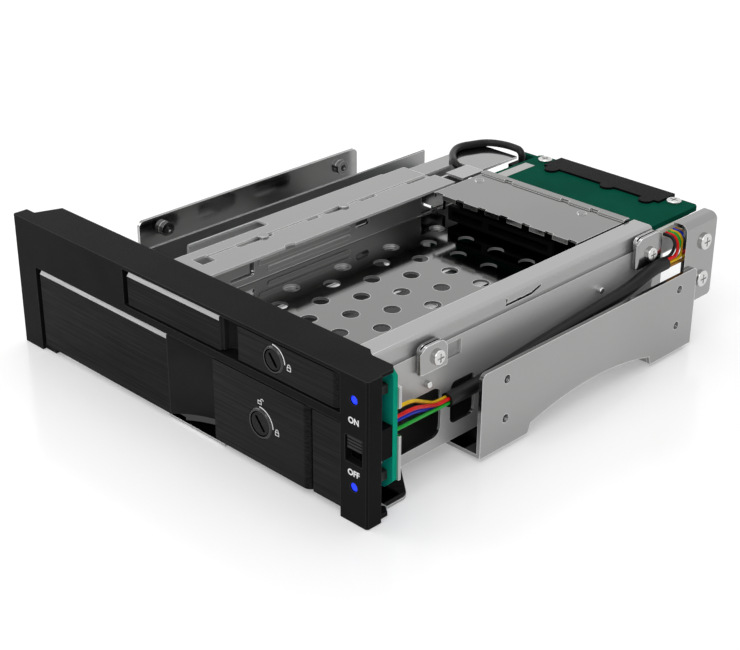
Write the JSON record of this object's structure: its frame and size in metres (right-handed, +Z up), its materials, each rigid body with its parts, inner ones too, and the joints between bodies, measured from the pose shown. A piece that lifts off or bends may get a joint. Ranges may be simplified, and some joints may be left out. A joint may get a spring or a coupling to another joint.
{
  "type": "hot swap drive cage",
  "caption": "Half-height bay cage with keyed swing doors for stacked 3.5 inch and 2.5 inch drives, perforated tray, slide ejector, rear boards and side mounting rails.",
  "frame": {"origin": "middle of the bounding box at the level of the flat underside", "axes": "+X along the front from the hinge side to the switch side, +Y from the front face to the rear sockets, +Z up"},
  "size_m": [0.1484, 0.166, 0.042],
  "materials": {
    "black_plastic": "fine satin texture",
    "brushed_black": "brushed black with a silver edge",
    "sheet_steel": "zinc plated, lightly brushed",
    "bright_steel": "polished",
    "board_green": "solder mask",
    "black_connector": "plain",
    "white_nylon": "plain",
    "blue_lens": "clear tinted",
    "sheath_black": "soft sleeve",
    "wire_black": "plain",
    "wire_red": "plain",
    "wire_yellow": "plain",
    "wire_blue": "plain",
    "wire_green": "plain",
    "wire_brown": "plain"
  },
  "bodies": {
    "chassis": {"front_bezel": "black_plastic", "fixed_plate": "brushed_black", "light_pipes": "blue_lens", "lamp_bases": "white_nylon", "switch_body": "black_connector", "front_board": "board_green", "front_board_screws": "bright_steel", "lower_cage": "sheet_steel", "upper_tray": "sheet_steel", "left_channel": "sheet_steel", "right_side_plate": "sheet_steel", "right_rail": "sheet_steel", "left_rail": "sheet_steel", "rear_bracket": "sheet_steel", "front_ear": "sheet_steel", "rear_ear": "sheet_steel", "ear_screws": "bright_steel", "bracket_screws": "bright_steel", "side_studs": "bright_steel", "upper_board": "board_green", "board_standoffs": "bright_steel", "upper_board_screws": "bright_steel", "shield_plate": "sheet_steel", "upper_drive_connector": "black_connector", "rear_connector": "black_connector", "lower_board": "board_green", "lower_drive_connector": "black_connector", "lower_rear_sockets": "black_connector", "white_plug": "white_nylon", "cable_sockets": "black_connector", "wire_sheath": "sheath_black", "cable_loop": "sheath_black", "black_wire": "wire_black", "red_wire": "wire_red", "yellow_wire": "wire_yellow", "blue_wire": "wire_blue", "green_wire": "wire_green", "brown_wire": "wire_brown", "lower_catch": "bright_steel", "upper_catch": "bright_steel"},
    "lower_door": {"lower_door": "black_plastic", "lower_door_plate": "brushed_black", "lower_hinge_pin": "bright_steel", "lower_latch_pin": "bright_steel"},
    "lower_lever": {"lower_latch": "black_plastic", "lower_latch_plate": "brushed_black", "lower_lock_ring": "bright_steel"},
    "lower_key_lock": {"lower_lock_barrel": "bright_steel", "lower_lock_cam": "bright_steel"},
    "upper_door": {"upper_door": "black_plastic", "upper_door_plate": "brushed_black", "upper_hinge_pin": "bright_steel", "upper_latch_pin": "bright_steel"},
    "upper_lever": {"upper_latch": "black_plastic", "upper_latch_plate": "brushed_black", "upper_lock_ring": "bright_steel"},
    "upper_key_lock": {"upper_lock_barrel": "bright_steel", "upper_lock_cam": "bright_steel"},
    "power_switch": {"switch_knob": "black_plastic"},
    "ejector": {"upper_ejector": "sheet_steel"}
  },
  "joints": [
    {"name": "lower_door_hinge", "type": "hinge", "parent": "chassis", "child": "lower_door", "pos_m": [-0.06155, -0.08, 0.0145], "axis": [0, 0, -1], "range_deg": [0, 95]},
    {"name": "lower_lever_hinge", "type": "hinge", "parent": "lower_door", "child": "lower_lever", "pos_m": [0.0511, -0.0803, 0.0145], "axis": [0, 0, 1], "range_deg": [0, 45]},
    {"name": "lower_lock_turn", "type": "hinge", "parent": "lower_lever", "child": "lower_key_lock", "pos_m": [0.0345, -0.08, 0.0145], "axis": [0, 1, 0], "range_deg": [0, 90]},
    {"name": "upper_door_hinge", "type": "hinge", "parent": "chassis", "child": "upper_door", "pos_m": [-0.01805, -0.08, 0.03545], "axis": [0, 0, -1], "range_deg": [0, 95]},
    {"name": "upper_lever_hinge", "type": "hinge", "parent": "upper_door", "child": "upper_lever", "pos_m": [0.0619, -0.0803, 0.03545], "axis": [0, 0, 1], "range_deg": [0, 45]},
    {"name": "upper_lock_turn", "type": "hinge", "parent": "upper_lever", "child": "upper_key_lock", "pos_m": [0.0402, -0.08, 0.03545], "axis": [0, 1, 0], "range_deg": [0, 90]},
    {"name": "power_slide", "type": "slide", "parent": "chassis", "child": "power_switch", "axis": [0, 0, -1], "range_m": [0, 0.0036]},
    {"name": "ejector_slide", "type": "slide", "parent": "chassis", "child": "ejector", "axis": [0, -1, 0], "range_m": [0, 0.0056]}
  ],
  "couplings": [
    {"joint": "ejector_slide", "follows": "upper_door_hinge", "m_per_rad": 0.00335}
  ]
}
